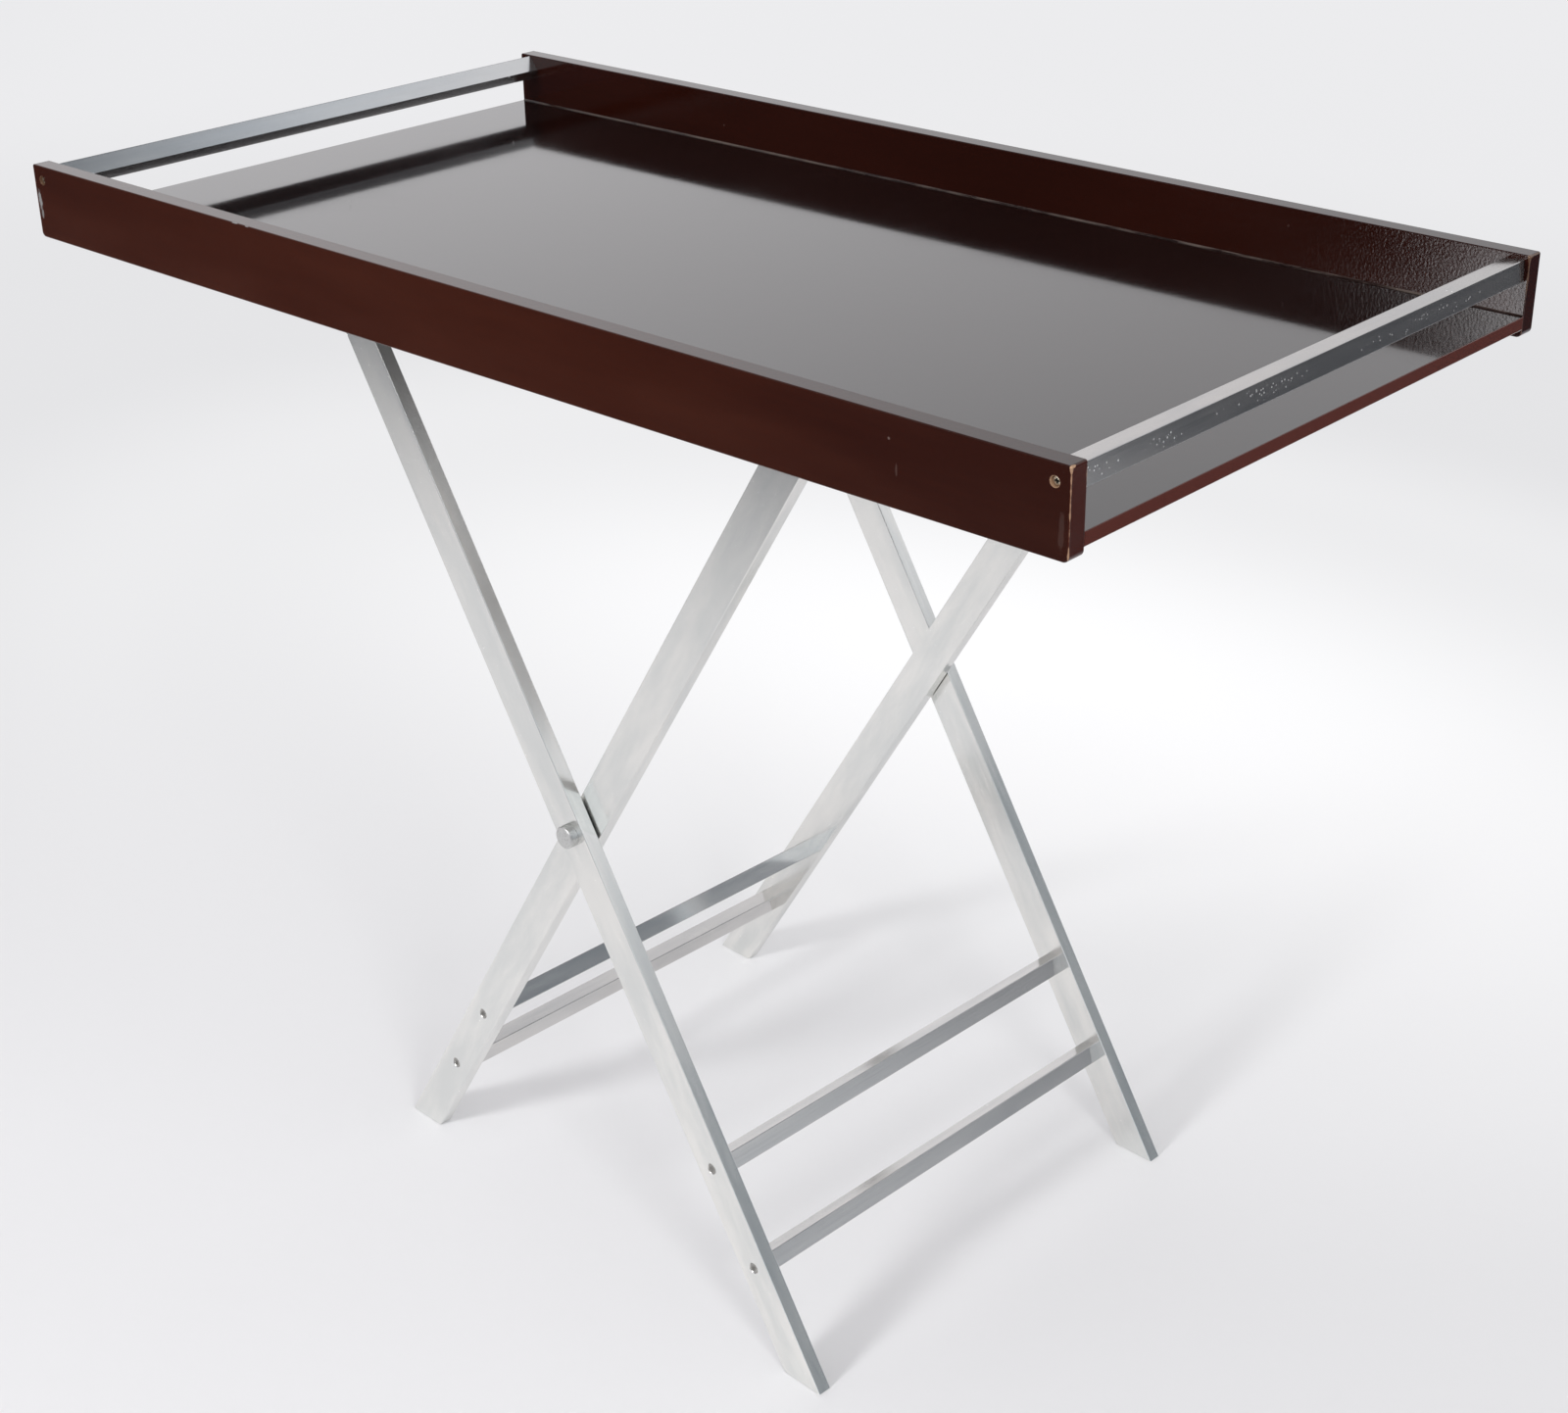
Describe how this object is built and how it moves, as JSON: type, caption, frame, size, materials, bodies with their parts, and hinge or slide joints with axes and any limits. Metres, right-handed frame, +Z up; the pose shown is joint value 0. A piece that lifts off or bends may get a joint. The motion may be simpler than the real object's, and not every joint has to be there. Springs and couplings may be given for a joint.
{
  "type": "butler's tray table",
  "caption": "Dark lacquered butler's tray with square metal handle bars, lying loose on a folding X stand of flat aluminium bar with square rails",
  "frame": {"origin": "on the floor under the middle of the tray, which is the middle of the part's box", "axes": "+X along the tray's length to the right as seen from its front board, +Y from the front board to the back board, +Z up"},
  "size_m": [0.96, 0.504, 0.7775],
  "materials": {
    "side_lacquer": "dark red-brown semi-gloss lacquer over wood, worn at the edges",
    "base_lacquer": "very dark brown high-gloss lacquer over plywood",
    "leg_aluminium": "satin extruded aluminium flat bar",
    "bar_aluminium": "satin square aluminium bar, scuffed",
    "pin_steel": "turned steel",
    "screw_steel": "dulled zinc-plated steel",
    "handle_screw_brass": "dulled brass-plated steel",
    "dowel_wood": "plain beech",
    "washer_nylon": "dark nylon"
  },
  "bodies": {
    "outer_frame": {"outer_front_leg": "leg_aluminium", "outer_back_leg": "leg_aluminium", "outer_upper_rail": "bar_aluminium", "outer_lower_rail": "bar_aluminium", "outer_top_rail": "bar_aluminium", "outer_rail_screws": "screw_steel", "front_stop_pin": "pin_steel", "back_stop_pin": "pin_steel"},
    "inner_frame": {"inner_front_leg": "leg_aluminium", "inner_back_leg": "leg_aluminium", "inner_upper_rail": "bar_aluminium", "inner_lower_rail": "bar_aluminium", "inner_top_rail": "bar_aluminium", "inner_rail_screws": "screw_steel", "front_pivot_pin": "pin_steel", "back_pivot_pin": "pin_steel", "front_pivot_washer": "washer_nylon", "back_pivot_washer": "washer_nylon"},
    "tray": {"front_side_board": "side_lacquer", "back_side_board": "side_lacquer", "tray_base": "base_lacquer", "front_base_dowels": "dowel_wood", "back_base_dowels": "dowel_wood"},
    "left_handle": {"left_handle_bar": "bar_aluminium", "left_handle_screws": "handle_screw_brass"},
    "right_handle": {"right_handle_bar": "bar_aluminium", "right_handle_screws": "handle_screw_brass"}
  },
  "joints": [
    {"name": "tray_lift", "type": "slide", "parent": "outer_frame", "child": "tray", "axis": [0, 0, 1], "range_m": [0, 0.3]},
    {"name": "fold", "type": "hinge", "parent": "outer_frame", "child": "inner_frame", "pos_m": [0.024, 0, 0.364], "axis": [-0.0471, -0.9989, 0], "range_deg": [0, 58]},
    {"name": "left_handle_turn", "type": "hinge", "parent": "tray", "child": "left_handle", "pos_m": [-0.4695, 0, 0.7665], "axis": [0, 1, 0], "continuous": true},
    {"name": "right_handle_turn", "type": "hinge", "parent": "tray", "child": "right_handle", "pos_m": [0.4695, 0, 0.7665], "axis": [0, 1, 0], "continuous": true}
  ],
  "couplings": [
    {"joint": "fold", "follows": "tray_lift", "rad_per_m": 3.3}
  ]
}
